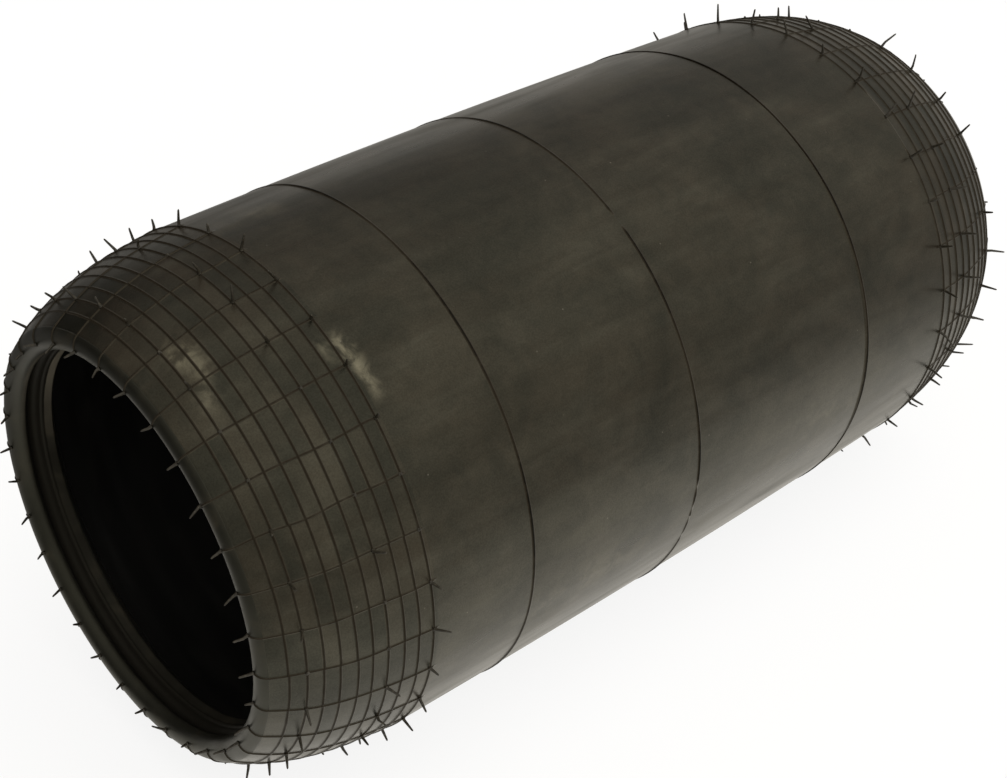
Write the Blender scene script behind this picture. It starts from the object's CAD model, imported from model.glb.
"""Rubber sleeve of a rolling lobe air spring, lying on its side.

The sleeve's axis is X, the near mouth has the lower X, and the origin is the middle of the near
bead seat. Lengths are in metres. Angles round the sleeve start on the side that faces the viewer
(-Y) and grow over the top (+Z).
"""

import functools
import math

import bpy
import numpy as np
from bpy.props import FloatProperty, FloatVectorProperty, IntProperty, StringProperty
from mathutils import Matrix, Vector


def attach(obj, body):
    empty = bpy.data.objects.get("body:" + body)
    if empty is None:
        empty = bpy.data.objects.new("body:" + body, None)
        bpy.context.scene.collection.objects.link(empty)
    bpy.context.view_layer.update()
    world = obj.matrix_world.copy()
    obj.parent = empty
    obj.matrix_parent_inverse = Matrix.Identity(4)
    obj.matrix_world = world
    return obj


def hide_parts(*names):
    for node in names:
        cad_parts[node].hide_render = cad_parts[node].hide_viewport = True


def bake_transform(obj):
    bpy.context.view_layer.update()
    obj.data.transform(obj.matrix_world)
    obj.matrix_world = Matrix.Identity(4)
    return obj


bl_info = {
    "name": "Air spring sleeve",
    "version": (1, 0, 0),
    "blender": (4, 5, 0),
    "location": "3D View > Sidebar > Air Spring",
    "description": "Builds the rubber sleeve of an air spring with its layers, mouths and vent spues",
    "category": "Add Mesh",
}

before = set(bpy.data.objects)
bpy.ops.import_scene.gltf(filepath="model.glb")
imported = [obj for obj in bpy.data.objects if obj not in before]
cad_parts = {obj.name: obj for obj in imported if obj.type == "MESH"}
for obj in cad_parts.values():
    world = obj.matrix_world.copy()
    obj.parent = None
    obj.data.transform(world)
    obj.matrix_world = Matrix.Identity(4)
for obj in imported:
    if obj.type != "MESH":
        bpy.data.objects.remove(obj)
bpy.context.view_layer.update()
NEAR = "near_end"
FAR = "far_end"
MM = 0.001
# Space between the sleeve's lowest line and the floor
FLOOR_GAP = 0.2 * MM
# What is added to the seed for the far end, the long ribs' shift, the panels' tones and the spues
FAR_SEED = 50
SHIFT_SEED = 1
TONE_SEED = 3
SPUE_SEED = 9


# Sizes and colours that a user would change

def a_length(name, description, default):
    """A length in metres."""
    return FloatProperty(name=name, description=description, default=default, unit="LENGTH")


def an_angle(name, description, degrees):
    """An angle, given in degrees."""
    return FloatProperty(name=name, description=description, default=math.radians(degrees), subtype="ANGLE")


def a_share(name, description, default):
    """A place along the shoulder, as a share of it."""
    return FloatProperty(name=name, description=description, default=default, subtype="FACTOR")


def a_level(name, description, default):
    """A strength of light, or another plain number."""
    return FloatProperty(name=name, description=description, default=default)


def a_count(name, description, default):
    """A whole number."""
    return IntProperty(name=name, description=description, default=default)


def a_colour(name, description, default):
    """A colour as sRGB hex."""
    return StringProperty(name=name, description=description, default=default)


class SleeveSizes(bpy.types.PropertyGroup):
    """Sizes of the sleeve and its layers."""
    sleeve_d: a_length("Sleeve diameter", "Outer diameter at the middle", 0.230)
    barrel_len: a_length("Plain wall", "Length between the two shoulder edges", 0.315)
    barrel_fall: a_length("Barrel fall", "Fall of the radius from the middle to a shoulder edge", 0.0017)
    cover_t: a_length("Cover", "Thickness of the rubber cover", 0.0012)
    ply_t: a_length("Ply", "Thickness of one rubbered cord ply", 0.0008)
    liner_t: a_length("Liner", "Thickness of the airtight liner", 0.0011)
    bond: a_length("Bond line", "Space between neighbouring layers", 0.00008)
    shoulder_len: a_length("Shoulder", "Length of a shoulder along the axis", 0.066)
    edge_slope: an_angle("Slope at the edge", "Slope of the shoulder at its edge", 7.2)
    nose_slope: an_angle("Slope at the nose", "Slope of the shoulder at the bead nose", 34)
    seat_d: a_length("Bead seat", "Diameter of the bead seat", 0.167)
    seat_len: a_length("Seat length", "Length of the bead seat", 0.005)
    nose_r: a_length("Nose", "Radius of the round nose", 0.0057)
    nose_step: a_length("Nose step", "Step from the seat to the bore of the nose", 0.0003)
    land_len: a_length("Land", "Length of the flat land between the nose and the cove", 0.001)
    cove_r: a_length("Cove", "Radius of the cove behind the nose", 0.0029)
    toe_chamfer: a_length("Toe chamfer", "Chamfer on both ends of the seat", 0.0008)
    core_r: a_length("Bead core", "Radius of the wrapped wire bundle with its bond line", 0.00307)
    core_at: a_share("Core place", "Place of the wire bundle along the shoulder", 0.87)
    filler_tip_at: a_share("Filler tip", "Place of the filler's tip along the shoulder", 0.45)
    turn_up_at: a_share("Turn-up end", "Place where the turned-up plies stop", 0.34)


class RibSizes(bpy.types.PropertyGroup):
    """Sizes of the vent ribs, mould lines and spues."""
    rings: a_count("Rings", "Spaces between the rings round one shoulder", 10)
    ribs: a_count("Long ribs", "Ribs along one shoulder, all round", 32)
    start: an_angle("First rib", "Angle of the first rib above the viewer's side", 9)
    width: a_length("Rib width", "Width of a rib at its foot", 0.0009)
    ring_h: a_length("Ring height", "Height of a ring rib", 0.0005)
    long_h: a_length("Long rib height", "Height of a long rib", 0.0004)
    line_w: a_length("Mould line width", "Width of a mould line at its foot", 0.0012)
    line_h: a_length("Mould line height", "Height of a mould line", 0.00055)
    nose_end: an_angle("Rib end", "Angle round the nose where the long ribs stop", 112)
    waver: a_length("Waver", "How far a rib wanders from its line", 0.0003)
    spue_len: a_length("Spue", "Length of the longest spue", 0.0095)
    spue_d: a_length("Spue diameter", "Diameter of a spue above its root", 0.0013)
    nose_spue_at: an_angle("Nose spues", "Angle round the nose where its spues stand", 103)
    seed: a_count("Seed", "Seed of the spues' leans and the ribs' waver", 7)


class Finishes(bpy.types.PropertyGroup):
    """Colours of the rubbers and of the floor, as sRGB hex."""
    cover: a_colour("Cover", "Moulded cover rubber", "13120e")
    bloom: a_colour("Bloom", "Dusty bloom on the cover", "322f27")
    mouth: a_colour("Mouth", "Chafer rubber", "12110e")
    liner: a_colour("Liner", "Airtight liner", "080807")
    floor: a_colour("Floor", "Floor and backdrop", "f4f3f0")


class ViewSizes(bpy.types.PropertyGroup):
    """Camera and stage."""
    camera_at: FloatVectorProperty(
        name="Camera", description="Place of the camera", default=(-0.2631, -0.4984, 0.4350), subtype="XYZ")
    looks_along: FloatVectorProperty(
        name="View direction", description="Direction of the view", default=(0.557, 0.617, -0.555),
        subtype="DIRECTION")
    light_side: a_level("Light side", "Light from the side of the broad light", 0.84)
    dark_side: a_level("Dark side", "Light from the opposite side", 0.0)
    light_from: FloatVectorProperty(
        name="Light from", description="Direction of the broad light", default=(0.1, -0.55, 0.83),
        subtype="DIRECTION")
    lamp: a_level("Lamp", "Strength of the wide lamp in the middle of the broad light", 1.35)
    lens: a_level("Lens", "Focal length on a 36 mm wide frame, in mm", 62.13)


# The line of the shoulder and of the layers under it

# Along the shoulder, as shares of it: how far its table of arc lengths starts before the edge, the
# stretch over which a chord is taken, over which the cover meets the turned-up plies, and between the
# wire bundle and the liner's end
BEFORE_EDGE = 0.02
CHORD = 0.004
THICKEN_OVER = 0.16
LINER_BEHIND = 0.13
TABLE_STEPS = 409


class Shape:
    """The sleeve's lines, worked out from its sizes. A station v runs from the shoulder edge (0)
    to the bead nose (1). Each line gives the distance from the mouth plane and the radius."""

    def __init__(self, sizes, ribs):
        self.s = sizes
        self.ribs = ribs
        self.mid_r = sizes.sleeve_d / 2
        self.edge_r = self.mid_r - sizes.barrel_fall
        self.seat_r = sizes.seat_d / 2
        self.total = sizes.barrel_len + 2 * sizes.shoulder_len
        self.nose_centre = np.array([sizes.nose_r, self.seat_r + sizes.nose_step + sizes.nose_r])
        slope = sizes.nose_slope
        self.nose_start = self.nose_centre + sizes.nose_r * np.array([-math.sin(slope), math.cos(slope)])
        cove_x = sizes.nose_r + sizes.land_len + sizes.cove_r
        self.cove_centre = np.array([cove_x, self.seat_r + sizes.nose_step + sizes.toe_chamfer / 2])
        self.seat_from = cove_x + sizes.cove_r + sizes.toe_chamfer
        self.seat_to = self.seat_from + sizes.seat_len
        self.seat_mid = (self.seat_from + self.seat_to) / 2
        self.wall_depth = sizes.cover_t + sizes.bond / 2
        self.turned_depth = sizes.cover_t + 2.5 * sizes.bond + 2 * sizes.ply_t
        self.ply_from = (sizes.bond / 2, sizes.bond * 1.5 + sizes.ply_t)
        self.skin_from = self.ply_from[1] + sizes.ply_t + sizes.bond
        self.liner_to = self.skin_from + sizes.liner_t
        self.liner_end = sizes.core_at - LINER_BEHIND
        self.core_centre = self.at_depth(np.array([sizes.core_at]), self.turned_depth + sizes.core_r)[0]
        self.core_out = self.normal(np.array([sizes.core_at]))[0]
        self.core_along = np.array([-self.core_out[1], self.core_out[0]])
        self.floor_depth = self.mid_r + ribs.line_h + FLOOR_GAP
        # The table starts a little before the shoulder edge, because the first ring wanders past it
        table = np.linspace(-BEFORE_EDGE, 1, TABLE_STEPS)
        arcs = path_lengths(self.outer(table))
        self.arc_table = (arcs - np.interp(0, table, arcs), table)
        self.arc_len = self.arc_table[0][-1]
        self.pitch = (self.arc_len - 2 * ribs.width) / ribs.rings

    def outer(self, v):
        """Outer line: a cubic in v with a given radius and slope at the edge and at the nose."""
        s = self.s
        run = s.shoulder_len - self.nose_start[0]
        r = self.edge_r * (1 - 3 * v ** 2 + 2 * v ** 3)
        r = r + self.nose_start[1] * (3 * v ** 2 - 2 * v ** 3)
        r = r - run * math.tan(s.edge_slope) * (v - 2 * v ** 2 + v ** 3)
        r = r - run * math.tan(s.nose_slope) * (v ** 3 - v ** 2)
        return np.stack([s.shoulder_len - run * v, r], axis=-1)

    def normal(self, v):
        """Unit normal of the outer line: its chord over a short stretch, turned by a right angle."""
        chord = self.outer(v + CHORD / 2) - self.outer(v - CHORD / 2)
        chord = chord / np.linalg.norm(chord, axis=-1, keepdims=True)
        return np.stack([chord[..., 1], -chord[..., 0]], axis=-1)

    def at_depth(self, v, depth):
        """The outer line moved inwards along its normal by a depth."""
        return self.outer(v) - np.asarray(depth)[..., None] * self.normal(v)

    def barrel(self, x, depth):
        """Plain wall: a parabola, widest at the middle, moved inwards along its normal by a depth."""
        half = self.s.barrel_len / 2
        w = (x - self.s.shoulder_len) / half - 1
        tilt = np.stack([2 * self.s.barrel_fall * w / half, np.ones_like(w)], axis=-1)
        tilt = tilt / np.linalg.norm(tilt, axis=-1, keepdims=True)
        line = np.stack([x, self.mid_r - self.s.barrel_fall * w ** 2], axis=-1)
        return line - np.asarray(depth)[..., None] * tilt

    def ply_depth(self, v):
        """Depth of the ply line: the wall's depth, more where the plies are turned up, and by the
        bundle's width under the filler, each joined by a smooth step."""
        s = self.s
        turned = smooth((v - s.turn_up_at) / THICKEN_OVER + 1) * (self.turned_depth - self.wall_depth)
        under = 2 * s.core_r * smooth((v - s.filler_tip_at) / (s.core_at - s.filler_tip_at))
        return self.wall_depth + turned + under

    def inner_side(self, v, out):
        """The ply line moved towards the inside of the sleeve by out."""
        line = self.at_depth(v, self.ply_depth(v))
        before, after = v - CHORD / 2, v + CHORD / 2
        chord = self.at_depth(after, self.ply_depth(after)) - self.at_depth(before, self.ply_depth(before))
        chord = chord / np.linalg.norm(chord, axis=-1, keepdims=True)
        return line + out * np.stack([-chord[..., 1], chord[..., 0]], axis=-1)

    def outer_side(self, v, out):
        """The line of the turned-up plies under the cover."""
        return self.at_depth(v, np.full_like(v, self.turned_depth - out))

    def round_core(self, radius, angle):
        """Circle round the wire bundle, from its outer side (0) over the side of the nose."""
        a = angle[:, None]
        return self.core_centre + radius * (np.cos(a) * self.core_out + np.sin(a) * self.core_along)

    def along(self, arc):
        """Station v at a distance along the shoulder's curve from its edge."""
        return np.interp(arc, self.arc_table[0], self.arc_table[1])


def smooth(w):
    """Smooth step: 3w^2 - 2w^3 with w held between 0 and 1."""
    w = np.clip(w, 0, 1)
    return w * w * (3 - 2 * w)


def path_lengths(points):
    """Distance of each point of a polyline from its first point, along the polyline."""
    return np.concatenate([[0], np.cumsum(np.linalg.norm(np.diff(points, axis=0), axis=1))])


def arc_points(centre, radius, start, end, count):
    """Points of a circular arc; the angle turns from the axis direction towards the radius."""
    a = np.linspace(start, end, count)
    return centre + radius * np.stack([np.cos(a), np.sin(a)], axis=-1)


def dense(points, steps):
    """A polyline with each stretch cut into equal steps: linear interpolation over the point index."""
    points = np.asarray(points, float)
    index = np.linspace(0, len(points) - 1, (len(points) - 1) * steps + 1)
    knots = np.arange(len(points))
    return np.stack([np.interp(index, knots, points[:, 0]), np.interp(index, knots, points[:, 1])], axis=-1)


# Meshes from arrays

def grid_faces(rows, cols):
    """Quads of a grid that closes on itself both ways: (i, j), (i, j+1), (i+1, j+1), (i+1, j)."""
    i, j = np.meshgrid(np.arange(rows), np.arange(cols), indexing="ij")
    after_i = (i + 1) % rows
    after_j = (j + 1) % cols
    quads = [i * cols + j, i * cols + after_j, after_i * cols + after_j, after_i * cols + j]
    return np.stack(quads, -1).reshape(-1, 4)


def facing_outwards(points, faces):
    """The faces, turned over if they enclose a negative volume. Six times the volume is the sum of
    the triple products of the triangles that fan out from the first corner of each face."""
    fan = [points[faces[:, n]] for n in range(faces.shape[1])]
    volume = sum(np.einsum("ij,ij->", fan[0], np.cross(b, c)) for b, c in zip(fan[1:], fan[2:]))
    return faces[:, ::-1] if volume < 0 else faces


def put_mesh(name, points, faces, material, smooth_shade=True):
    """A new object at the origin with these points and faces, given as whole arrays."""
    mesh = bpy.data.meshes.new(name)
    size = faces.shape[1]
    mesh.vertices.add(len(points))
    mesh.vertices.foreach_set("co", np.ascontiguousarray(points, np.float32).ravel())
    mesh.loops.add(faces.size)
    mesh.loops.foreach_set("vertex_index", faces.astype(np.int32).ravel())
    mesh.polygons.add(len(faces))
    mesh.polygons.foreach_set("loop_start", np.arange(0, faces.size, size, dtype=np.int32))
    mesh.polygons.foreach_set("use_smooth", np.full(len(faces), smooth_shade))
    mesh.update(calc_edges=True)
    mesh.validate()
    mesh.materials.append(material)
    piece = bpy.data.objects.new(name, mesh)
    bpy.context.scene.collection.objects.link(piece)
    return piece


def turned(name, x, r, angle, material, shape):
    """A closed section turned round the X axis: the point at distance x, radius r and angle a is
    (x - seat_mid, -r cos a, r sin a). x and r may change with the angle."""
    x = np.broadcast_to(x, angle.shape)
    r = np.broadcast_to(r, angle.shape)
    points = np.stack([x - shape.seat_mid, -r * np.cos(angle), r * np.sin(angle)], -1).reshape(-1, 3)
    return put_mesh(name, points, facing_outwards(points, grid_faces(*angle.shape)), material)


def store(piece, name, values, domain="POINT"):
    """Stores one number for each point or face of a piece."""
    attribute = piece.data.attributes.new(name, "FLOAT", domain)
    attribute.data.foreach_set("value", np.ascontiguousarray(values, np.float32).ravel())


# Materials

# Kinds of shader node: type, sockets that take the inputs, socket of the result, usual settings
PLACE = ("TexCoord", (), "Object", {})
DIRECTION = ("TexCoord", (), "Generated", {})
UNROLLED = ("UVMap", (), "UV", {"uv_map": "skin"})
STORED = ("Attribute", (), "Fac", {})
RAY = ("LightPath", (), None, {})
MAPPED = ("Mapping", ("Vector", "Scale", "Rotation"), "Vector", {})
AXES = ("SeparateXYZ", ("Vector",), None, {})
RED = ("SeparateColor", ("Color",), 0, {})
NOISE = ("TexNoise", ("Vector", "Scale", "Detail", "Roughness", "Distortion"), "Fac", {})
WAVES = ("TexWave", ("Vector", "Scale"), "Fac", {})
CELLS = ("TexVoronoi", ("Vector", "Scale"), None, {})
STRETCH = ("MapRange", ("Value", "From Min", "From Max", "To Min", "To Max"), "Result", {})
RAMP = STRETCH[:3] + ({"interpolation_type": "SMOOTHSTEP"},)
MIX = ("Mix", (0, 6, 7), 2, {"data_type": "RGBA"})
MIX_LEVELS = ("Mix", (0, 2, 3), 0, {"data_type": "FLOAT"})
TIMES = ("Math", (0, 1), 0, {"operation": "MULTIPLY"})
PLUS = ("Math", (0, 1), 0, {"operation": "ADD"})
LARGER = ("Math", (0, 1), 0, {"operation": "MAXIMUM"})
SINE = ("Math", (0,), 0, {"operation": "SINE"})
ANGLE_OF = ("Math", (0, 1), 0, {"operation": "ARCTAN2"})
MOVED = ("VectorMath", (0, 1), "Vector", {"operation": "ADD"})
LENGTH_OF = ("VectorMath", (0,), "Value", {"operation": "LENGTH"})
ALONG = ("VectorMath", (0, 1), "Value", {"operation": "DOT_PRODUCT"})
BUMP = ("Bump", ("Strength", "Distance", "Height", "Normal"), "Normal", {})
FINISH = ("Base Color", "Roughness", "Normal")
DIELECTRIC = ("BsdfPrincipled", FINISH + ("IOR", "Specular IOR Level", "Specular Tint"), "BSDF", {})
METAL = ("BsdfPrincipled", FINISH + ("Metallic",), "BSDF", {})
MATT = ("BsdfDiffuse", ("Color",), "BSDF", {})
GLOW = ("Emission", ("Color", "Strength"), "Emission", {})
SKY = ("Background", ("Color", "Strength"), "Background", {})
BLEND = ("MixShader", (0, 1, 2), "Shader", {})
SURFACE = ("OutputMaterial", ("Surface",), None, {})
WORLD = ("OutputWorld", ("Surface",), None, {})

# Indices of refraction of the cover's rubber and of butyl rubber
RUBBER_IOR = 1.52
BUTYL_IOR = 1.53
# Warm sheen of the waxes that bloom on rubber
WAX_SHEEN = "ffffe4"


def add_node(tree, kind, *inputs, **settings):
    """Adds a node of one kind with its settings, and links or sets its inputs. Returns its result,
    or the node where the kind names no result."""
    node_type, sockets, result, usual = kind
    made = tree.nodes.new("ShaderNode" + node_type)
    for key, value in {**usual, **settings}.items():
        setattr(made, key, value)
    for socket, value in zip(sockets, inputs):
        if isinstance(value, bpy.types.NodeSocket):
            tree.links.new(value, made.inputs[socket])
        else:
            made.inputs[socket].default_value = value
    return made if result is None else made.outputs[result]


def empty_tree(owner):
    """Clears the nodes of a new material or world and returns the function that adds one to it."""
    owner.use_nodes = True
    owner.node_tree.nodes.clear()
    return functools.partial(add_node, owner.node_tree)


def new_material(name):
    """An empty material, and the function that adds a node to it."""
    material = bpy.data.materials.new(name)
    return material, empty_tree(material)


def linear(text):
    """Linear colour of an sRGB hex value."""
    parts = [int(text[n:n + 2], 16) / 255 for n in (0, 2, 4)]
    return tuple(p / 12.92 if p <= 0.04045 else ((p + 0.055) / 1.055) ** 2.4 for p in parts) + (1.0,)


def every(millimetres):
    """Scale of a pattern whose features come every so many millimetres."""
    return 1 / (millimetres * MM)


def rib_lines(node, colour, gloss, where):
    """Colours the tops of ribs and mould lines and takes the gloss off them. The rest of the surface
    keeps its colour and gloss. Returns both."""
    # The tops are torn and rough: dull grey-brown lines, darker on the rings than on the long ribs,
    # and nearly black on the mould lines
    uneven = node(RAMP, node(NOISE, where, every(3.846), 2, 0.5), 0.3, 0.6, 0.75, 1.0)
    trace = node(TIMES, node(STORED, attribute_name="trace"), uneven)
    torn = node(MIX, node(RAMP, trace, 0.5, 0.85), linear("332e26"), linear("241f18"))
    torn = node(MIX, node(RAMP, trace, 1.0, 1.3), torn, linear("110f0c"))
    colour = node(MIX, node(RAMP, trace, 0.0, 0.5, 0.0, 0.95), colour, torn)
    return colour, node(TIMES, gloss, node(RAMP, trace, 0.1, 0.5, 1.0, 0.12))


def cover_rubber(finishes):
    """Weatherproof cover rubber, cured in a steel mould and then handled."""
    # Satin near-black with an olive cast, brownish in patches, with soft wipe marks along the sleeve
    material, node = new_material("moulded_cover_rubber")
    where = node(PLACE)
    # Wipe marks are about 66 mm long and 10 mm wide
    wiped = node(MAPPED, where, (0.16, 1.0, 1.0), (0.0, 0.12, 0.2))
    wipes = node(NOISE, wiped, every(10.526), 5, 0.55, 0.4)
    # Bloom comes in patches of about 50 mm, handling marks in spots of about 9 mm
    patches = node(NOISE, where, every(52.63), 4, 0.5, 0.8)
    spots = node(NOISE, where, every(9.091), 4, 0.6, 0.6)
    # Fine moulding grain, and the unevenness of the hand laid cover
    grain = node(NOISE, where, every(0.7143), 2, 0.6)
    uneven = node(NOISE, wiped, every(14.286), 2, 0.5)
    # Each space between the ribs is a little browner or greener than the next
    panel = node(STORED, attribute_name="panel")
    tint = node(PLUS, node(TIMES, spots, 0.3), node(TIMES, panel, 0.25))
    tint = node(PLUS, tint, node(TIMES, patches, 0.5))
    colour = node(MIX, node(RAMP, tint, 0.35, 0.75), linear(finishes.cover), linear("241c14"))
    bloom = node(TIMES, node(RAMP, wipes, 0.45, 0.8), node(RAMP, patches, 0.4, 0.7))
    colour = node(MIX, node(TIMES, bloom, 0.5), colour, linear(finishes.bloom))
    # Dusty spots show the handling marks
    dusty = node(TIMES, node(STORED, attribute_name="dust"), node(RAMP, spots, 0.35, 0.65, 0.25, 1.0))
    colour = node(MIX, node(RAMP, dusty, 0.05, 1.1), colour, linear("716b59"))
    # Dust specks of 0.4 to 0.9 mm, in about every sixth of the cells of 7 mm
    cells = node(CELLS, where, every(6.6667)).outputs
    chosen = node(RAMP, node(RED, cells["Color"]), 0.78, 0.88)
    speck = node(TIMES, node(RAMP, cells["Distance"], 0.07, 0.03), chosen)
    colour = node(MIX, node(TIMES, speck, 0.3), colour, linear("8a8478"))
    # Gloss comes and goes with the wipes, the patches, the spots, the grain and the panels
    gloss = node(TIMES, node(RAMP, wipes, 0.3, 0.7, 0.44, 0.58), node(RAMP, patches, 0.3, 0.7, 0.82, 1.12))
    gloss = node(TIMES, gloss, node(RAMP, spots, 0.3, 0.7, 0.93, 1.07))
    gloss = node(TIMES, gloss, node(RAMP, grain, 0.3, 0.7, 0.85, 1.15))
    gloss = node(TIMES, gloss, node(RAMP, panel, 0.0, 1.0, 0.88, 1.12))
    colour, gloss = rib_lines(node, colour, gloss, where)
    rough = node(RAMP, wipes, 0.3, 0.8, 0.27, 0.42)
    bump = node(BUMP, 0.5, 0.0004, uneven, node(BUMP, 0.4, 0.00006, grain))
    node(SURFACE, node(DIELECTRIC, colour, rough, bump, RUBBER_IOR, gloss, linear(WAX_SHEEN)))
    return material


def mouth_rubber(finishes):
    """Chafer rubber, harder than the cover, moulded against the bead rings."""
    # Like the cover but duller, with rub marks round the nose, a dirty cove and a powdered seat
    material, node = new_material("moulded_chafer_rubber")
    where = node(PLACE)
    rub = node(NOISE, where, every(16.667), 4, 0.55, 0.5)
    grain = node(NOISE, where, every(0.7143), 2, 0.6)
    zone = node(STORED, attribute_name="zone")
    hollow = node(RAMP, zone, -0.3, -1.0)
    colour = node(MIX, node(RAMP, rub, 0.5, 0.8), linear(finishes.mouth), linear("272119"))
    colour = node(MIX, hollow, colour, linear("201e1a"))
    powder = node(TIMES, node(RAMP, zone, 0.2, 1.0), node(RAMP, rub, 0.2, 0.7, 0.75, 1.0))
    # Handling has wiped the powder off the lower half
    height = node(AXES, where).outputs["Z"]
    powder = node(TIMES, powder, node(RAMP, height, -0.01, 0.065, 0.08, 1.0))
    colour = node(MIX, powder, colour, linear("756f63"))
    gloss = node(TIMES, node(RAMP, hollow, 0.0, 1.0, 0.42, 0.06), node(RAMP, rub, 0.3, 0.7, 0.85, 1.15))
    colour, gloss = rib_lines(node, colour, gloss, where)
    rough = node(RAMP, rub, 0.3, 0.7, 0.4, 0.52)
    bump = node(BUMP, 0.3, 0.00006, grain)
    node(SURFACE, node(DIELECTRIC, colour, rough, bump, RUBBER_IOR, gloss, linear(WAX_SHEEN)))
    return material


def spue_rubber():
    """Cover rubber pressed out of the mould's vent holes."""
    # Grey-brown, paler and duller than the wall, uneven along each spue
    material, node = new_material("vent_spue_rubber")
    tone = node(NOISE, node(PLACE), every(1.1111), 2, 0.5)
    colour = node(MIX, node(RAMP, tone, 0.4, 0.8), linear("262219"), linear("3d382d"))
    node(SURFACE, node(DIELECTRIC, colour, 0.5, node(BUMP, 0.2, 0.00005, tone), RUBBER_IOR))
    return material


def liner_rubber(finishes):
    """Butyl liner, pressed smooth by the curing bladder."""
    # Very dark, with broad soft bladder marks round the bore
    material, node = new_material("butyl_liner_rubber")
    marks = node(NOISE, node(MAPPED, node(PLACE), (4.0, 1.0, 1.0)), every(33.333), 4, 0.5, 0.3)
    colour = node(MIX, node(RAMP, marks, 0.45, 0.75), linear(finishes.liner), linear("12110f"))
    rough = node(RAMP, marks, 0.3, 0.7, 0.55, 0.7)
    node(SURFACE, node(DIELECTRIC, colour, rough, node(BUMP, 0.3, 0.0003, marks), BUTYL_IOR, 0.3))
    return material


def cord_ply(name, lean):
    """Nylon cord ply skimmed with rubber. The cords lie on the bias, 1.1 mm apart."""
    # Tan cords show through the dark skim as fine parallel ridges
    material, node = new_material(name)
    where = node(UNROLLED)
    # A wave of scale n repeats every pi / 10 / n
    leaned = node(MAPPED, where, (1.0, 1.0, 1.0), (0.0, 0.0, lean))
    cords = node(WAVES, leaned, math.pi / 10 * every(1.1))
    skim = node(NOISE, where, every(4.545), 3, 0.5)
    shown = node(TIMES, node(RAMP, cords, 0.35, 0.9), node(RAMP, skim, 0.2, 0.6, 0.5, 1.0))
    colour = node(MIX, shown, linear("2b2620"), linear("8d7a57"))
    node(SURFACE, node(DIELECTRIC, colour, 0.62, node(BUMP, 0.6, 0.0002, cords), RUBBER_IOR))
    return material


def bead_wire():
    """Drawn steel wire with a thin coat of brass, which makes the rubber bond to it."""
    # Pale gold metal with fine draw lines and darker tarnish
    material, node = new_material("brass_coated_bead_wire")
    where = node(PLACE)
    tarnish = node(NOISE, where, every(7.143), 3, 0.5)
    drawn = node(NOISE, where, every(0.3333), 1, 0.5)
    colour = node(MIX, node(RAMP, tarnish, 0.45, 0.75), linear("c9a867"), linear("8f7547"))
    rough = node(RAMP, tarnish, 0.3, 0.8, 0.28, 0.45)
    node(SURFACE, node(METAL, colour, rough, node(BUMP, 0.15, 0.00003, drawn), 1.0))
    return material


def bead_wrap():
    """Square woven nylon strip with a rubber skim, wound round the wire bundle."""
    # Dull tan weave; threads are 0.8 mm apart round the ring, 94 mm in radius, and across it
    material, node = new_material("woven_bead_wrap")
    ring_r = 94 * MM
    threads = 2 * math.pi * every(0.8)
    axes = node(AXES, node(PLACE)).outputs
    around = node(SINE, node(TIMES, node(ANGLE_OF, axes["Z"], axes["Y"]), threads * ring_r))
    weave = node(TIMES, around, node(SINE, node(TIMES, axes["X"], threads)))
    colour = node(MIX, node(RAMP, weave, -0.6, 0.8), linear("5c5340"), linear("a39575"))
    node(SURFACE, node(DIELECTRIC, colour, 0.8, node(BUMP, 0.5, 0.0001, weave)))
    return material


def filler_rubber():
    """Hard extruded filler rubber of the bead."""
    # Matt charcoal with faint extrusion lines round the ring
    material, node = new_material("extruded_filler_rubber")
    lines = node(NOISE, node(MAPPED, node(PLACE), (20.0, 1.0, 1.0)), every(16.667), 3, 0.5)
    colour = node(MIX, lines, linear("1c1a18"), linear("302d29"))
    node(SURFACE, node(DIELECTRIC, colour, 0.6, node(BUMP, 0.3, 0.0001, lines), RUBBER_IOR))
    return material


# Columns and rows of the cover

# Places of the columns and rows across a rib as shares of its width, its height there, and how
# strongly it is torn and marked there
ACROSS = (-0.9, -0.5, -0.2, 0.2, 0.5, 0.9)
HEIGHTS = (0.0, 0.0, 1.0, 1.0, 0.0, 0.0)
TRACES = (0.0, 0.42, 1.0, 1.0, 0.42, 0.0)
SPACE_SHARES = (0.2, 0.4, 0.6, 0.8)
# How dark a long rib and a mould line are beside a ring
LONG_TRACE = 0.78
LINE_TRACE = 1.6
# Places of the mould lines along the plain wall, and the one beside which a second, fainter one runs
MOULD_LINE_AT = (0.158, 0.457, 0.816)
DOUBLED = 2
# Rows of the wall beside each shoulder edge, and between two mould lines
EDGE_ROWS = (1.2 * MM, 2.8 * MM)
WALL_ROWS = 8
# Worn rings: number of the ring, angles between which it is worn in degrees, and what is left of it;
# and the angle over which the wear fades out
NEAR_WORN = ((10, -180, 180, 0.04),)
FAR_WORN = ((10, -180, 180, 0.04), (0, 46, 61, 0.25))
WEAR_FADE = 2
# Angles in degrees of the gap in the middle mould line, and between which it is torn into dashes
TORN_GAP = (55.5, 58.8)
DASHED = (-27, -4)
# Shortest and longest wave of a long rib, and the distance from the shoulder edge over which it starts
RIB_WAVES = (25 * MM, 60 * MM)
SHIFT_FADE = 4 * MM
# Waves of a ring round the sleeve, the spread of its steps at the long ribs, and how much of both the
# first and the last ring have
RING_WAVES = (2, 5, 9)
STEP_SPREAD = 0.45
FIRST_HOLD = 0.4
LAST_HOLD = 0.1


def column(values, scale=1.0):
    """The scaled values as a column of an array."""
    return np.multiply(values, scale)[:, None]


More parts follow.
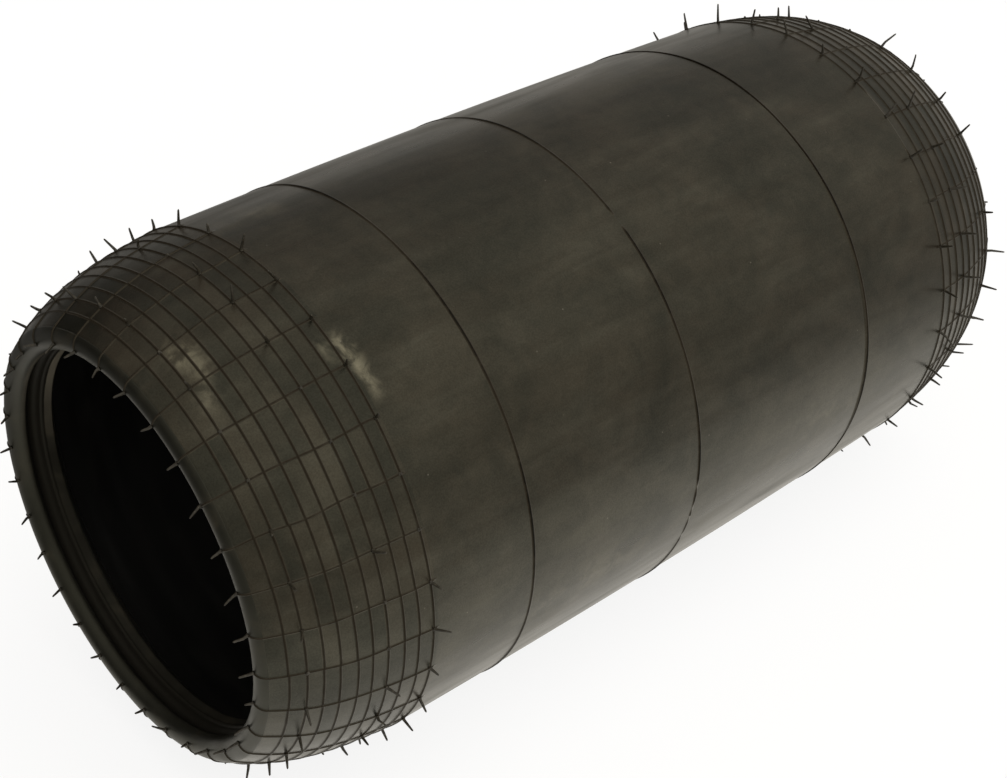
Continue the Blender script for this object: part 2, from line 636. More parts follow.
class Columns:
    """The columns of the ribbed grid: six across each long rib and four in the space after it."""

    def __init__(self, shape):
        ribs = shape.ribs
        space = 2 * math.pi / ribs.ribs
        width = ribs.width / shape.edge_r
        free = space - 2 * ACROSS[-1] * width
        after_rib = ACROSS[-1] * width + np.multiply(SPACE_SHARES, free)
        one = np.concatenate([np.multiply(ACROSS, width), after_rib])
        self.count = len(one)
        offset = np.tile(one, ribs.ribs)
        self.k = np.repeat(np.arange(ribs.ribs), len(one))
        self.after = (self.k + 1) % ribs.ribs
        self.angle = ribs.start + self.k * space + offset
        self.share = np.clip((offset - ACROSS[-1] * width) / free, 0, 1)
        self.crossed = smooth((offset / width - ACROSS[0]) / (ACROSS[-1] - ACROSS[0]))
        self.top = np.tile(HEIGHTS + (0.0,) * len(SPACE_SHARES), ribs.ribs)
        self.trace = np.tile(TRACES + (0.0,) * len(SPACE_SHARES), ribs.ribs) * LONG_TRACE

    def between_ribs(self, values):
        """Values given for each rib, mixed in a straight way between two ribs."""
        return values[..., self.k] * (1 - self.share) + values[..., self.after] * self.share


def degrees_of(angle):
    """Angle in degrees between -180 and 180."""
    return np.degrees((angle + math.pi) % (2 * math.pi) - math.pi)


def rib_shift(shape, seed, arcs):
    """Angle by which each long rib is moved round the sleeve at each distance along the shoulder: the
    sum of two sines of that distance, which fades out at the shoulder edge."""
    rng = np.random.default_rng(seed + SHIFT_SEED)
    count = shape.ribs.ribs
    wave = 2 * math.pi / rng.uniform(*RIB_WAVES, (2, 1, count))
    phase = rng.uniform(0, 2 * math.pi, (2, 1, count))
    size = rng.uniform(0.2, 1.0, (2, 1, count)) * shape.ribs.waver
    moved = (size * np.sin(wave * arcs[:, None] + phase)).sum(0)
    return moved / shape.edge_r * smooth(arcs[:, None] / SHIFT_FADE)


def ring_places(shape, seed, cols):
    """Distance of each ring along the shoulder at each column: its even place, moved by three sines
    of the angle and by a small step at each long rib. The first and last ring move less."""
    rng = np.random.default_rng(seed)
    ribs = shape.ribs
    count = ribs.rings + 1
    moved = np.zeros((count, len(cols.angle)))
    for turns in RING_WAVES:
        phase = rng.uniform(0, 2 * math.pi, (count, 1))
        size = rng.uniform(0.1, 0.6, (count, 1)) / math.sqrt(turns / 2)
        moved += size * np.sin(turns * cols.angle + phase)
    steps = rng.normal(0, STEP_SPREAD, (count, ribs.ribs))
    moved += np.roll(steps, 1, 1)[:, cols.k] * (1 - cols.crossed) + steps[:, cols.k] * cols.crossed
    hold = np.ones((count, 1))
    hold[[0, -1], 0] = FIRST_HOLD, LAST_HOLD
    even = ribs.width + np.arange(count)[:, None] * shape.pitch
    return even + moved * hold * ribs.waver


def rings_left(shape, worn, angle):
    """How much of each ring is left at each column: whole, but worn down between given angles."""
    left = np.ones((shape.ribs.rings + 1, len(angle)))
    degrees = degrees_of(angle)
    for ring, start, end, share in worn:
        inside = smooth((degrees - start) / WEAR_FADE + 1) * smooth((end - degrees) / WEAR_FADE + 1)
        left[ring] = 1 - (1 - share) * (1 if end - start >= 360 else inside)
    return left


def shoulder_rows(shape, seed, worn, cols):
    """Rows of one shoulder, from the mouth back to the edge: x, r, angle, trace (1 on top of a ring,
    less on a long rib) and the number of the ring before, as arrays of rows by columns."""
    ribs = shape.ribs
    places = ring_places(shape, seed, cols)
    left = rings_left(shape, worn, cols.angle)
    flat = np.zeros((1, len(cols.angle)))
    arcs, tall, torn, ring = [flat + shape.arc_len], [flat], [flat], [ribs.rings]
    for n in range(ribs.rings, -1, -1):
        arcs.append(places[n] - column(ACROSS, ribs.width))
        tall.append(column(HEIGHTS) * left[n])
        torn.append(column(TRACES) * left[n])
        ring += [n] * len(ACROSS)
        if n > 0:
            arcs.append(places[n] + column((1 / 3, 2 / 3)) * (places[n - 1] - places[n]))
            tall += [flat, flat]
            torn += [flat, flat]
            ring += [n] * 2
    arcs = np.concatenate(arcs)
    tall = np.concatenate(tall)
    turns = cols.angle + cols.between_ribs(rib_shift(shape, seed, arcs.mean(1)))
    line = shape.at_depth(shape.along(arcs), -np.maximum(tall * ribs.ring_h, cols.top * ribs.long_h))
    trace = np.maximum(np.concatenate(torn), cols.trace)
    return line[..., 0], line[..., 1], turns, trace, np.array(ring)


def barrel_rows(shape, angle):
    """Rows of the plain wall between the shoulder edges, with the three mould lines: x, r, trace."""
    s = shape.s
    ribs = shape.ribs
    ones = np.ones((1, len(angle)))
    xs, tall, torn = [], [], []

    def rows(places, high=0.0, trace=0.0):
        places = places * ones
        xs.append(places)
        tall.append(high + 0 * places)
        torn.append(trace + 0 * places)

    edges = np.array(EDGE_ROWS)[:, None]
    rows(edges)
    ends = [0.0] + [share * s.barrel_len for share in MOULD_LINE_AT] + [s.barrel_len]
    for n in range(len(ends) - 1):
        rows(ends[n] + (ends[n + 1] - ends[n]) * np.linspace(0.09, 0.91, WALL_ROWS)[:, None])
        if n == DOUBLED:
            beside, high = second_line(angle)
            rows(ends[n + 1] + beside, high, high)
        if n < len(MOULD_LINE_AT):
            start = 1 if n == DOUBLED else 0
            left = mould_line_left(n, angle)
            rows(ends[n + 1] + column(ACROSS[start:], ribs.line_w),
                 column(HEIGHTS[start:]) * left, column(TRACES[start:], LINE_TRACE) * left)
    rows(s.barrel_len - edges[::-1])
    line = shape.barrel(np.concatenate(xs) + s.shoulder_len, -np.concatenate(tall) * ribs.line_h)
    return line[..., 0], line[..., 1], np.concatenate(torn)


def second_line(angle):
    """Rows of the fainter line beside the third mould line: distances from that line, and heights as
    a share. The two drift apart from 57 degrees downwards and run together again near -18 degrees."""
    degrees = degrees_of(angle)
    gap = 0.8 + 0.5 * smooth((57 - degrees) / 45) * smooth((degrees + 19) / 12)
    high = 0.55 * smooth((57 - degrees) / 6) * smooth((degrees + 20) / 3)
    merged = 0.7 * smooth((2 - degrees) / 10) * smooth((degrees + 20) / 3)
    beside = (column((-0.9, -0.3, -0.1, 0.1, 0.28)) - gap) * MM
    return beside, np.stack([0 * high, 0 * high, high, high, merged])


def mould_line_left(n, angle):
    """How much of mould line n is left at each angle: whole, but torn off in short gaps on the
    middle line, where the flash has come away."""
    degrees = degrees_of(angle)
    left = 0.8 + 0.2 * np.sin(degrees / 7 + n)
    if n == 1:
        left = np.where((degrees > TORN_GAP[0]) & (degrees < TORN_GAP[1]), 0.0, left)
        dashes = (degrees > DASHED[0]) & (degrees < DASHED[1]) & (np.sin(degrees * 2.1) > 0.2)
        left = np.where(dashes, 0.1, left)
    return left


# Dusty and rubbed spots: distance from the near mouth plane in mm, angle in degrees, half length
# and half width in mm, and strength
DUSTY = (
    (19, 73, 7, 9, 0.8), (22, 67, 5, 5, 0.6), (17, 61, 5, 8, 0.6), (62, 58, 3.5, 7, 0.6),
    (68.5, 57, 3, 8, 1.0), (70, 50, 3, 9, 0.8), (88, 100, 16, 9, 0.35), (150, -14, 60, 12, 0.35),
    (300, -6, 30, 14, 0.3), (205, 4, 30, 10, 0.2), (28, 24, 14, 5, 0.3), (40, 20, 10, 4, 0.25),
)


def dust(shape, x, angle):
    """Dust at each point: the sum of bell curves round the dusty spots."""
    total = np.zeros(x.shape)
    for at, turn, length, width, strength in DUSTY:
        around = np.radians(degrees_of(angle - math.radians(turn))) * shape.mid_r
        total += strength * np.exp(-((x - at * MM) / (length * MM)) ** 2 - (around / (width * MM)) ** 2)
    return total


# Sections of the cover's inner side and of the layers under it

# Numbers of points: of a line along the turned-up plies, of the cover's inner side after them, of the
# plies' inner side, of the liner on the shoulder, of half the plain wall, of the nose and of the cove
TURNED_POINTS = 12
THIN_POINTS = 10
INNER_POINTS = 26
LINER_POINTS = 30
WALL_POINTS = 12
NOSE_POINTS = 36
COVE_POINTS = 20
# Step of the bends round the wire bundle, in degrees
BEND_STEP = 12
# How far past the cover's edge the nose starts, and how far from the wire bundle, as a share of the
# shoulder, the chafer's side under the cover starts
NOSE_PAST = math.radians(0.15)
UNDER_FROM = 0.03
# Angle round the nose over which the long ribs end, the angle from which its pale bore comes in and
# over which it does, and how pale it is
RIB_FADE = 0.1
BORE_FROM = math.radians(145)
BORE_FADE = math.radians(25)
BORE_ZONE = 0.55


def cover_inside(shape):
    """Inner side of the cover from the far mouth back to the near one; it fills the step that the
    ends of the turned-up plies leave."""
    s = shape.s
    before_step = np.linspace(1, s.turn_up_at, TURNED_POINTS)
    v = np.concatenate([before_step, np.linspace(s.turn_up_at - 0.001, 0, THIN_POINTS)])
    depth = np.where(v >= s.turn_up_at, s.cover_t, shape.ply_depth(v) - s.bond / 2)
    line = np.concatenate([shape.at_depth(v, depth), half_barrel(shape, s.cover_t)[1::2]])
    return both_halves(shape, line)[::-1]


def half_barrel(shape, depth):
    """The plain wall from the shoulder edge to the middle, at a depth."""
    x = shape.s.shoulder_len + shape.s.barrel_len / 2 * np.linspace(1 / WALL_POINTS, 1, WALL_POINTS)
    return shape.barrel(x, np.full(WALL_POINTS, depth))


def both_halves(shape, line):
    """A line over the near half, continued over the far half as its mirror image."""
    return np.concatenate([line, (line * [-1, 1] + [shape.total, 0])[-2::-1]])


def hook_line(shape, out):
    """One side of a ply: down under the cover, round the wire bundle and back along the inside."""
    s = shape.s
    turned_up = shape.outer_side(np.linspace(s.turn_up_at, s.core_at, TURNED_POINTS), out)
    bend = shape.round_core(s.core_r + out, np.radians(np.arange(BEND_STEP, 180, BEND_STEP)))
    inner = shape.inner_side(np.linspace(s.core_at, 0, INNER_POINTS), out)
    return np.concatenate([turned_up, bend, inner, half_barrel(shape, shape.wall_depth + out)])


def hook_section(shape, out, to):
    """Closed section of a ply from bead to bead."""
    lines = [both_halves(shape, hook_line(shape, depth)) for depth in (out, to)]
    return np.concatenate([lines[0], lines[1][::-1]])


def turned_section(name, section, angle, material, shape):
    """A section turned round the axis at all angles, with its skin unrolled as a UV map in metres."""
    turns = np.repeat(angle[None, :], len(section), 0)
    piece = turned(name, section[:, :1], section[:, 1:], turns, material, shape)
    along = np.repeat(path_lengths(section)[:, None], len(angle), 1).ravel()
    around = (turns * shape.mid_r).ravel()
    loops = np.empty(len(piece.data.loops), np.int32)
    piece.data.loops.foreach_get("vertex_index", loops)
    uv = piece.data.uv_layers.new(name="skin")
    uv.data.foreach_set("uv", np.stack([along[loops], around[loops]], -1).astype(np.float32).ravel())
    return piece


def chafer_section(shape):
    """Closed section of a mouth: the nose arc, the cove, the seat and its chamfers, then back along
    the plies. Returns the points, for each how much of a long rib still runs over it, and its zone
    (-1 in the cove, 1 on the seat, about a half on the bore of the nose)."""
    s = shape.s
    right = math.pi / 2
    start = s.nose_slope + NOSE_PAST
    turn = np.linspace(start, math.pi, NOSE_POINTS)
    nose = arc_points(shape.nose_centre, s.nose_r, right + start, right + math.pi, NOSE_POINTS)
    cove = arc_points(shape.cove_centre, s.cove_r, math.pi, 0, COVE_POINTS)
    seat = dense([[shape.seat_from, shape.seat_r], [shape.seat_to, shape.seat_r]], 8)
    behind = shape.liner_end + 2 * s.bond / s.shoulder_len
    back = shape.inner_side(np.array([behind]), shape.liner_to)
    toe = dense([[shape.seat_to + s.toe_chamfer, shape.seat_r + s.toe_chamfer], back[0]], 4)
    inner = shape.inner_side(np.linspace(behind, s.core_at, TURNED_POINTS), shape.skin_from)
    bends = np.radians(np.arange(180 - BEND_STEP, 2 * BEND_STEP, -BEND_STEP))
    bend = shape.round_core(s.core_r + shape.skin_from, bends)
    under = shape.at_depth(np.array([s.core_at + UNDER_FROM, 1.0]), np.full(2, s.cover_t + s.bond))
    tip_r = s.nose_r - s.cover_t - s.bond
    tip = shape.nose_centre + tip_r * np.array([-math.sin(start), math.cos(start)])
    section = np.concatenate([nose, cove, seat, toe, inner, bend, under, [tip]])
    left = np.zeros(len(section))
    left[:NOSE_POINTS] = 1 - smooth((turn - shape.ribs.nose_end) / RIB_FADE + 0.7)
    zone = np.zeros(len(section))
    zone[:NOSE_POINTS] = BORE_ZONE * smooth((turn - BORE_FROM) / BORE_FADE)
    seat_at = NOSE_POINTS + COVE_POINTS
    zone[NOSE_POINTS:seat_at + 2] = -1
    zone[seat_at + 2:seat_at + len(seat) - 1] = 1
    return section, left, zone


# Spues

# Rings that carry a row of spues; the last row stands on the nose and is shorter
SPUE_RINGS = (0, 3, 8)
NOSE_SPUE_SHARE = 0.65
# Spues that have broken off, row by row, counted from the viewer's side over the top
NEAR_BROKEN = ((1, 2), (0, 2, 3, 4, 8, 31), (3, 4, 6, 31), ())
FAR_BROKEN = ((12, 13), (5, 6, 9, 10, 14), (2, 7, 8, 11, 15, 16), (9,))
STUB = 0.8 * MM
# How deep the foot of a spue lies in its rib
FOOT_DEPTH = 0.2 * MM
# Places along a spue, its width there as a share of its diameter, and the number of its sides
SPUE_ALONG = np.array([0.0, 0.05, 0.12, 0.35, 0.62, 0.94, 1.0])
SPUE_WIDTH = np.array([1.5, 1.15, 1.0, 0.92, 0.8, 0.64, 0.35])
SPUE_SIDES = 7
# Spread of the leans in degrees and of the kinks as slopes, and where along a spue the kink may be
SPUE_LEAN = 9
SPUE_KINK = 0.22
SPUE_KINK_AT = (0.12, 0.35)
# How far a spue that the floor presses up by one moves towards the mouth
PRESSED_OVER = 0.7


def spue_feet(shape, seed):
    """Foot, normal of the skin and angle of every spue, row by row, at the place where its long rib
    crosses its ring, with the foot a little under the top of the rib."""
    ribs = shape.ribs
    cols = Columns(shape)
    places = ring_places(shape, seed, cols)[list(SPUE_RINGS)]
    arcs = places.reshape(len(SPUE_RINGS), ribs.ribs, cols.count)[:, :, 2:4].mean(2)
    shift = np.stack([np.diagonal(rib_shift(shape, seed, row)) for row in arcs])
    end_shift = rib_shift(shape, seed, np.array([shape.arc_len]))
    v = shape.along(arcs)
    outward = np.array([-math.sin(ribs.nose_spue_at), math.cos(ribs.nose_spue_at)])
    nose = shape.nose_centre + (shape.s.nose_r + ribs.long_h - FOOT_DEPTH) * outward
    foot = np.concatenate([shape.at_depth(v, np.full(v.shape, FOOT_DEPTH - ribs.ring_h)),
                           np.broadcast_to(nose, (1, ribs.ribs, 2))])
    normal = np.concatenate([shape.normal(v), np.broadcast_to(outward, (1, ribs.ribs, 2))])
    turns = np.arange(ribs.ribs) * 2 * math.pi / ribs.ribs
    angle = ribs.start + turns + np.concatenate([shift, end_shift])
    return foot.reshape(-1, 2), normal.reshape(-1, 2), angle.reshape(-1)


def spue_lines(shape, broken, seed, share):
    """Middle lines of all spues of one end, their directions at the foot and the directions round the
    sleeve. A middle line is foot + L (t s + max(0, t - t0) b): it leaves the skin in the direction s
    near the normal and has a slight kink b at t0."""
    ribs = shape.ribs
    rng = np.random.default_rng(seed + SPUE_SEED)
    foot, normal, angle = spue_feet(shape, seed)
    count = len(angle)
    outward = np.stack([np.zeros(count), -np.cos(angle), np.sin(angle)], -1)
    axis = np.array([1.0, 0.0, 0.0])
    mouthward = axis * -normal[:, 1:] + outward * normal[:, :1]
    foot = axis * (foot[:, :1] - shape.seat_mid) + outward * foot[:, 1:]
    normal = axis * normal[:, :1] + outward * normal[:, 1:]
    around = np.cross(outward, axis)
    shares = [share] * len(SPUE_RINGS) + [NOSE_SPUE_SHARE]
    length = np.repeat(shares, ribs.ribs) * ribs.spue_len * rng.uniform(0.5, 1.0, count)
    gone = np.concatenate([np.isin(np.arange(ribs.ribs), row) for row in broken])
    length = np.where(gone, STUB, length)[:, None, None]
    lean = np.tan(np.radians(rng.normal(0, SPUE_LEAN, (2, count))))[:, :, None]
    start = normal + mouthward * lean[0] + around * lean[1]
    start = start / np.linalg.norm(start, axis=1, keepdims=True)
    kink = rng.normal(0, SPUE_KINK, (2, count))[:, :, None]
    bend = mouthward * kink[0] + around * kink[1]
    after = np.clip(SPUE_ALONG - rng.choice(SPUE_KINK_AT, count)[:, None], 0, 1)[:, :, None]
    line = foot[:, None] + length * (SPUE_ALONG[:, None] * start[:, None] + after * bend[:, None])
    # Under the sleeve the floor presses a spue over towards the mouth
    lowest = SPUE_WIDTH.max() * ribs.spue_d / 2 + 2 * FLOOR_GAP - shape.floor_depth
    pressed = np.clip(lowest - line[:, :, 2], 0, None)
    line[:, :, 2] += pressed
    line[:, :, 0] -= PRESSED_OVER * pressed
    return line, start, around


def spue_tubes(shape, line, start, around):
    """Points and faces of round tubes along the middle lines, which taper to closed ends. Each ring
    is a circle across the spue's direction at its foot."""
    count = len(line)
    width = SPUE_WIDTH * shape.ribs.spue_d / 2
    turn = np.linspace(0, 2 * math.pi, SPUE_SIDES, endpoint=False)[:, None]
    ring = around[:, None] * np.cos(turn) + np.cross(around, start)[:, None] * np.sin(turn)
    skin = line[:, :, None] + ring[:, None] * width[:, None, None]
    ends = np.stack([line[:, 0], line[:, -1] + start * (width[-1] * 0.8)], 1)
    points = np.concatenate([skin.reshape(count, -1, 3), ends], 1)
    per = points.shape[1]
    i, j = np.meshgrid(np.arange(len(width) - 1), np.arange(SPUE_SIDES), indexing="ij")
    beside = (j + 1) % SPUE_SIDES
    after = i + 1
    wall = np.stack([i * SPUE_SIDES + j, i * SPUE_SIDES + beside, after * SPUE_SIDES + beside,
                     after * SPUE_SIDES + j], -1).reshape(-1, 4)
    j, beside = j[0], beside[0]
    last = (len(width) - 1) * SPUE_SIDES
    one = np.concatenate([wall[:, [0, 1, 2]], wall[:, [0, 2, 3]],
                          np.stack([np.full(SPUE_SIDES, per - 2), beside, j], -1),
                          np.stack([np.full(SPUE_SIDES, per - 1), last + j, last + beside], -1)])
    return points.reshape(-1, 3), (one + (np.arange(count) * per)[:, None, None]).reshape(-1, 3)


# Operators, one for each piece or group of like pieces

# Columns round the sleeve of a ply and of the liner, and the cords' angle to its axis
PLY_COLUMNS = 192
LINER_COLUMNS = 224
CORD_ANGLE = math.radians(38)


def sleeve_shape(context):
    """The lines worked out from the sizes that the scene holds."""
    return Shape(context.scene.sleeve_sizes, context.scene.rib_sizes)


def blend_over_stroke(piece):
    """The wall between the shoulder edges takes up the stroke; each shoulder follows its bead."""
    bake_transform(piece)


class SLEEVE_OT_cover(bpy.types.Operator):
    """Outer cover with its vent ribs and mould lines"""
    bl_idname = "sleeve.cover"
    bl_label = "Outer cover"

    def execute(self, context):
        shape = sleeve_shape(context)
        ribs = shape.ribs
        cols = Columns(shape)
        near = shoulder_rows(shape, ribs.seed, NEAR_WORN, cols)
        far = shoulder_rows(shape, ribs.seed + FAR_SEED, FAR_WORN, cols)
        wall = barrel_rows(shape, cols.angle)
        inside = cover_inside(shape)
        ones = np.ones((1, len(cols.angle)))
        hidden = np.repeat(0 * ones, len(inside), 0)
        x = np.concatenate([near[0], wall[0], shape.total - far[0][::-1], inside[:, :1] * ones])
        r = np.concatenate([near[1], wall[1], far[1][::-1], inside[:, 1:] * ones])
        turns = np.concatenate([near[2], cols.angle + 0 * wall[0], far[2][::-1], cols.angle + hidden])
        piece = turned("cover", x, r, turns, cover_rubber(context.scene.sleeve_finishes), shape)
        store(piece, "trace", np.concatenate([near[3], wall[2], far[3][::-1], hidden]))
        store(piece, "dust", dust(shape, x, turns))
        rng = np.random.default_rng(ribs.seed + TONE_SEED)
        tone = rng.uniform(0, 1, (2, ribs.rings + 1, ribs.ribs))
        near_tone, far_tone = (tone[n][end[4]][:, cols.k] for n, end in enumerate((near, far)))
        tones = np.concatenate([near_tone, 0.5 + 0 * wall[0], far_tone[::-1], hidden])
        store(piece, "panel", tones, "FACE")
        blend_over_stroke(piece)
        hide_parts("outer_cover")
        return {"FINISHED"}


class SLEEVE_OT_plies(bpy.types.Operator):
    """Both cord plies, turned up round the beads"""
    bl_idname = "sleeve.plies"
    bl_label = "Cord plies"

    def execute(self, context):
        shape = sleeve_shape(context)
        angle = np.linspace(0, 2 * math.pi, PLY_COLUMNS, endpoint=False)
        names = (("outer_ply", "ply_outer", CORD_ANGLE), ("inner_ply", "ply_inner", -CORD_ANGLE))
        for (node, name, lean), out in zip(names, shape.ply_from):
            section = hook_section(shape, out, out + shape.s.ply_t)
            piece = turned_section(name, section, angle, cord_ply("cord_" + name, lean), shape)
            blend_over_stroke(piece)
            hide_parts(node)
        return {"FINISHED"}


class SLEEVE_OT_liner(bpy.types.Operator):
    """Airtight liner between the two beads"""
    bl_idname = "sleeve.liner"
    bl_label = "Liner"

    def execute(self, context):
        shape = sleeve_shape(context)
        v = np.linspace(shape.liner_end, 0, LINER_POINTS)
        outer, inner = (both_halves(shape, np.concatenate([
            shape.inner_side(v, d), half_barrel(shape, shape.wall_depth + d)]))
            for d in (shape.skin_from, shape.liner_to))
        section = np.concatenate([outer, inner[::-1]])
        angle = np.linspace(0, 2 * math.pi, LINER_COLUMNS, endpoint=False)
        material = liner_rubber(context.scene.sleeve_finishes)
        piece = turned_section("liner", section, angle, material, shape)
        blend_over_stroke(piece)
        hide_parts("inner_liner")
        return {"FINISHED"}


class SLEEVE_OT_chafers(bpy.types.Operator):
    """Rubber of both mouths: nose, cove and toe"""
    bl_idname = "sleeve.chafers"
    bl_label = "Chafers"

    def execute(self, context):
        shape = sleeve_shape(context)
        material = mouth_rubber(context.scene.sleeve_finishes)
        cols = Columns(shape)
        section, left, zone = chafer_section(shape)
        lift = left[:, None] * cols.top * shape.ribs.long_h
        around = np.roll(section, -1, 0) - np.roll(section, 1, 0)
        around = around / np.linalg.norm(around, axis=1, keepdims=True)
        out = np.stack([-around[:, 1], around[:, 0]], -1)
        # The sixth point lies on the nose, so its normal points away from the nose's centre
        out = out * np.sign((out[5] * (section[5] - shape.nose_centre)).sum())
        x = section[:, :1] + out[:, :1] * lift
        r = section[:, 1:] + out[:, 1:] * lift
        for name, node, body, at, seed in (
                ("mouth_near", "near_chafer", NEAR, x, shape.ribs.seed),
                ("mouth_far", "far_chafer", FAR, shape.total - x, shape.ribs.seed + FAR_SEED)):
            shift = cols.between_ribs(rib_shift(shape, seed, np.array([shape.arc_len])))
            piece = turned(name, at, r, cols.angle + shift + 0 * x, material, shape)
            store(piece, "trace", left[:, None] * cols.trace)
            store(piece, "zone", zone[:, None] + 0 * x)
            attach(piece, body)
            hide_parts(node)
        return {"FINISHED"}


class SLEEVE_OT_spues(bpy.types.Operator):
    """Thin rubber spues from the vent holes of both shoulders"""
    bl_idname = "sleeve.spues"
    bl_label = "Vent spues"

    def execute(self, context):
        shape = sleeve_shape(context)
        material = spue_rubber()
        seed = shape.ribs.seed
        ends = (("spues_near", "near_vent_spues", NEAR, NEAR_BROKEN, seed, 0.8),
                ("spues_far", "far_vent_spues", FAR, FAR_BROKEN, seed + FAR_SEED, 1.0))
        for name, node, body, broken, number, share in ends:
            points, faces = spue_tubes(shape, *spue_lines(shape, broken, number, share))
            if body == FAR:
                points = points * [-1, 1, 1] + [shape.total - 2 * shape.seat_mid, 0, 0]
            piece = put_mesh(name, points, facing_outwards(points, faces), material)
            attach(piece, body)
            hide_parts(node)
        return {"FINISHED"}


class SLEEVE_OT_beads(bpy.types.Operator):
    """Materials of the wires, wraps and fillers inside the beads"""
    bl_idname = "sleeve.beads"
    bl_label = "Bead wires, wraps and fillers"

    def execute(self, context):
        finish = {"bead_wires": bead_wire(), "bead_wrap": bead_wrap(), "bead_filler": filler_rubber()}
        for name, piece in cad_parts.items():
            for ending, material in finish.items():
                if name.endswith(ending):
                    for spot in piece.material_slots:
                        spot.material = material
        return {"FINISHED"}


# Stage

# Tone of the studio light, and the plain white that the camera sees
WARM = "fffaf0"
WHITE = "ffffff"
FLOOR_HALF = 6.0
# Widths of the sensor and of the lamp, seen from the sleeve, in mm and degrees
SENSOR = 36.0
LAMP_ANGLE = 70


def floor_finish(finishes):
    """Matt white paper. To the camera it is plain white apart from the soft shadow of the sleeve; in
    the gloss of the rubber it is white near the sleeve and greyer further off, most on the dark side."""
    material, node = new_material("matt_white_paper")
    ray = node(RAY).outputs
    camera = ray["Is Camera Ray"]
    # Distance from the sleeve's middle, and how far it lies on the bright side of the view
    away = node(MOVED, node(PLACE), (-0.2, 0.0, 0.0))
    bright = node(ALONG, away, (0.742, -0.670, 0.0))
    reflected = node(TIMES, node(RAMP, node(LENGTH_OF, away), 0.3, 0.62, 1.15, 0.45),
                     node(RAMP, bright, -0.55, -0.15, 0.1, 1.0))
    # Together with the light that the paper gives back, 1.07 comes to white
    strength = node(MIX_LEVELS, camera, reflected, 1.07)
    glow = node(GLOW, node(MIX, camera, linear(WARM), linear(WHITE)), strength)
    share = node(TIMES, node(LARGER, camera, ray["Is Glossy Ray"]), 0.8)
    node(SURFACE, node(BLEND, share, node(MATT, linear(finishes.floor)), glow))
    return material


def studio_world(view):
    """A soft studio: one broad light above the camera's side, which falls off evenly to dark walls, and
    a pale backdrop low behind the sleeve. The camera sees white."""
    world = bpy.data.worlds.new("studio")
    node = empty_tree(world)
    where = node(DIRECTION)
    camera = node(RAY).outputs["Is Camera Ray"]
    side = node(ALONG, where, Vector(view.light_from).normalized())
    level = node(STRETCH, side, -0.25, 1.0, view.dark_side, view.light_side)
    behind = node(ALONG, where, (0.8, 0.6, 0.0))
    low = node(RAMP, node(AXES, where).outputs["Z"], 0.5, 0.05, 0.0, 0.55)
    level = node(PLUS, level, node(TIMES, node(RAMP, behind, 0.55, 0.95), low))
    tone = node(MIX, camera, linear(WARM), linear(WHITE))
    node(WORLD, node(SKY, tone, node(MIX_LEVELS, camera, level, 1.0)))
    return world


def wide_lamp(view):
    """A very wide lamp that lifts the level of matt surfaces to that at which a colour shows as it is
    written. The world already holds its gloss, so the gloss of the rubber doesn't see it."""
    lamp = bpy.data.lights.new("wide_lamp", "SUN")
    lamp.energy = view.lamp
    lamp.angle = math.radians(LAMP_ANGLE)
    holder = bpy.data.objects.new("wide_lamp", lamp)
    holder.rotation_euler = Vector(view.light_from).to_track_quat("Z", "Y").to_euler()
    holder.visible_glossy = False
    bpy.context.scene.collection.objects.link(holder)


def photo_camera(view):
    """The camera at the photograph's angle: its axes are the view direction and its upright cross
    products with the vertical."""
    camera = bpy.data.cameras.new("camera")
    camera.lens = view.lens
    camera.sensor_width = SENSOR
    camera.clip_start = 0.01
    holder = bpy.data.objects.new("camera", camera)
    bpy.context.scene.collection.objects.link(holder)
    ahead = Vector(view.looks_along).normalized()
    side = ahead.cross(Vector((0, 0, 1))).normalized()
    up = side.cross(ahead)
    holder.matrix_world = Matrix((
        (side.x, up.x, -ahead.x, view.camera_at[0]),
        (side.y, up.y, -ahead.y, view.camera_at[1]),
        (side.z, up.z, -ahead.z, view.camera_at[2]),
        (0, 0, 0, 1)))
    return holder


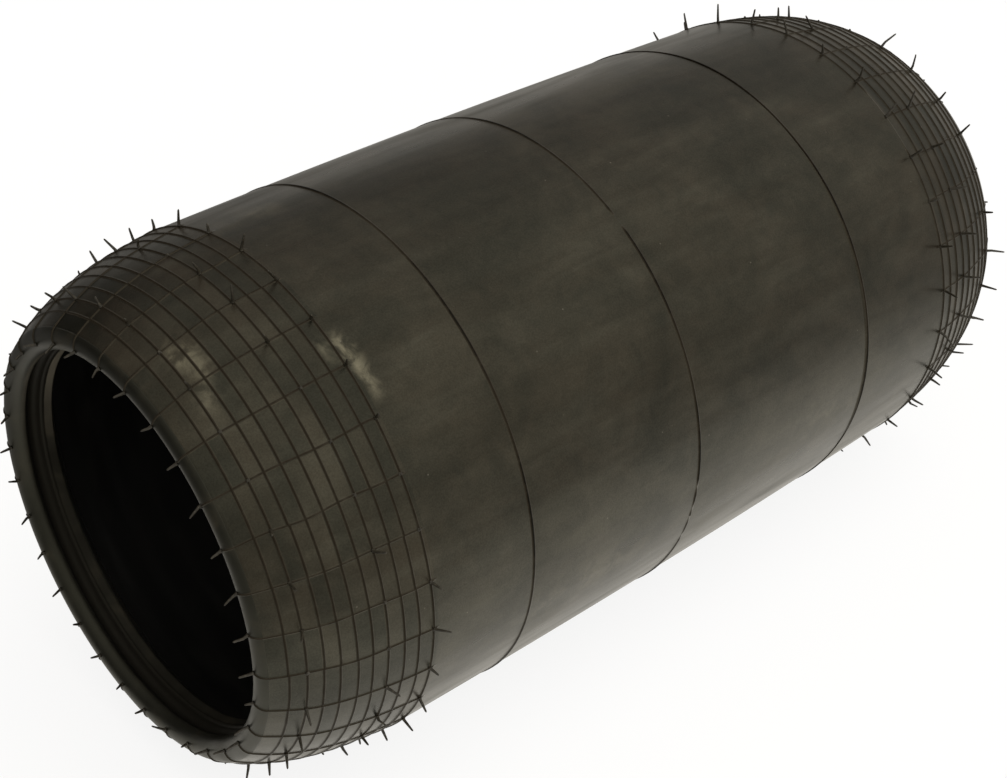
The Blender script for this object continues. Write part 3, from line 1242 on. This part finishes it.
class SLEEVE_OT_stage(bpy.types.Operator):
    """Floor, soft light and camera"""
    bl_idname = "sleeve.stage"
    bl_label = "Stage"

    def execute(self, context):
        scene = context.scene
        view = scene.sleeve_view
        z = -sleeve_shape(context).floor_depth
        corners = np.array([[-1, -1, 0], [1, -1, 0], [1, 1, 0], [-1, 1, 0]]) * FLOOR_HALF + [0, 0, z]
        material = floor_finish(scene.sleeve_finishes)
        floor = put_mesh("floor", corners, np.array([[0, 1, 2, 3]]), material, False)
        scene.world = studio_world(view)
        wide_lamp(view)
        scene.camera = photo_camera(view)
        scene.view_settings.view_transform = "Standard"
        return {"FINISHED"}


class SLEEVE_PT_panel(bpy.types.Panel):
    """Builders and sizes of the sleeve"""
    bl_label = "Air spring sleeve"
    bl_idname = "SLEEVE_PT_panel"
    bl_space_type = "VIEW_3D"
    bl_region_type = "UI"
    bl_category = "Air Spring"

    def draw(self, context):
        for operator in OPERATORS:
            self.layout.operator(operator.bl_idname)
        for group in GROUPS:
            values = getattr(context.scene, group)
            box = self.layout.box()
            for key in values.bl_rna.properties.keys():
                if key not in ("rna_type", "name"):
                    box.prop(values, key)


GROUPS = {
    "sleeve_sizes": SleeveSizes, "rib_sizes": RibSizes, "sleeve_finishes": Finishes, "sleeve_view": ViewSizes}
OPERATORS = (SLEEVE_OT_cover, SLEEVE_OT_plies, SLEEVE_OT_liner, SLEEVE_OT_chafers, SLEEVE_OT_spues,
             SLEEVE_OT_beads, SLEEVE_OT_stage)


def register():
    """Adds the property groups, the operators and the panel."""
    for name, group in GROUPS.items():
        bpy.utils.register_class(group)
        setattr(bpy.types.Scene, name, bpy.props.PointerProperty(type=group))
    for operator in OPERATORS:
        bpy.utils.register_class(operator)
    bpy.utils.register_class(SLEEVE_PT_panel)


def unregister():
    """Takes the panel, the operators and the property groups out again."""
    bpy.utils.unregister_class(SLEEVE_PT_panel)
    for operator in reversed(OPERATORS):
        bpy.utils.unregister_class(operator)
    for name, group in GROUPS.items():
        delattr(bpy.types.Scene, name)
        bpy.utils.unregister_class(group)


def main():
    register()
    bpy.ops.sleeve.cover()
    bpy.ops.sleeve.plies()
    bpy.ops.sleeve.liner()
    bpy.ops.sleeve.chafers()
    bpy.ops.sleeve.spues()
    bpy.ops.sleeve.beads()
    bpy.ops.sleeve.stage()


if __name__ == "__main__":
    main()
